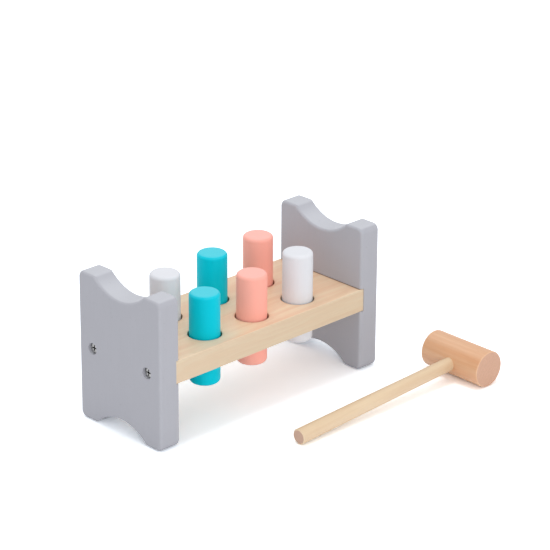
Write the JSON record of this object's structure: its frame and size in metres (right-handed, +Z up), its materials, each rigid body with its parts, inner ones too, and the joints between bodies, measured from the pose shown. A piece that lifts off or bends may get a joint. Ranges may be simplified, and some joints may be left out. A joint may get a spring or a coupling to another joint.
{
  "type": "peg pounding bench",
  "caption": "Toy pounding bench: painted pegs slide through a wooden plank housed in two scalloped end boards, driven by a separate wooden mallet.",
  "frame": {"origin": "middle of the bench on the surface that it stands on", "axes": "+X along the bench to the right, -Y to the front where the mallet lies, +Z up along the pegs"},
  "size_m": [0.2805, 0.1814, 0.1215],
  "materials": {
    "grey_paint": "satin paint",
    "white_paint": "satin paint",
    "teal_paint": "satin paint",
    "coral_paint": "satin paint",
    "plank_wood": "clear matt lacquer",
    "mallet_head_wood": "clear matt lacquer",
    "mallet_handle_wood": "clear matt lacquer",
    "screw_steel": "zinc plated",
    "grip_rubber": "matt"
  },
  "bodies": {
    "bench": {"left_end_board": "grey_paint", "right_end_board": "grey_paint", "plank": "plank_wood", "grip_ring_rear_left": "grip_rubber", "grip_ring_rear_middle": "grip_rubber", "grip_ring_rear_right": "grip_rubber", "grip_ring_front_left": "grip_rubber", "grip_ring_front_middle": "grip_rubber", "grip_ring_front_right": "grip_rubber", "screw_left_rear": "screw_steel", "screw_left_front": "screw_steel", "screw_right_rear": "screw_steel", "screw_right_front": "screw_steel"},
    "peg_rear_left": {"peg_rear_left": "white_paint"},
    "peg_rear_middle": {"peg_rear_middle": "teal_paint"},
    "peg_rear_right": {"peg_rear_right": "coral_paint"},
    "peg_front_left": {"peg_front_left": "teal_paint"},
    "peg_front_middle": {"peg_front_middle": "coral_paint"},
    "peg_front_right": {"peg_front_right": "white_paint"},
    "mallet": {"mallet_head": "mallet_head_wood", "mallet_handle": "mallet_handle_wood"}
  },
  "joints": [
    {"name": "peg_rear_left_drive", "type": "slide", "parent": "bench", "child": "peg_rear_left", "axis": [0, 0, -1], "range_m": [-0.01385, 0.03265]},
    {"name": "peg_rear_middle_drive", "type": "slide", "parent": "bench", "child": "peg_rear_middle", "axis": [0, 0, -1], "range_m": [-0.01115, 0.03535]},
    {"name": "peg_rear_right_drive", "type": "slide", "parent": "bench", "child": "peg_rear_right", "axis": [0, 0, -1], "range_m": [-0.01005, 0.03645]},
    {"name": "peg_front_left_drive", "type": "slide", "parent": "bench", "child": "peg_front_left", "axis": [0, 0, -1], "range_m": [-0.01615, 0.03035]},
    {"name": "peg_front_middle_drive", "type": "slide", "parent": "bench", "child": "peg_front_middle", "axis": [0, 0, -1], "range_m": [-0.01465, 0.03185]},
    {"name": "peg_front_right_drive", "type": "slide", "parent": "bench", "child": "peg_front_right", "axis": [0, 0, -1], "range_m": [-0.01075, 0.03575]},
    {"name": "mallet_lift", "type": "slide", "parent": "bench", "child": "mallet", "axis": [0, 0, 1], "range_m": [0, 0.2]}
  ]
}
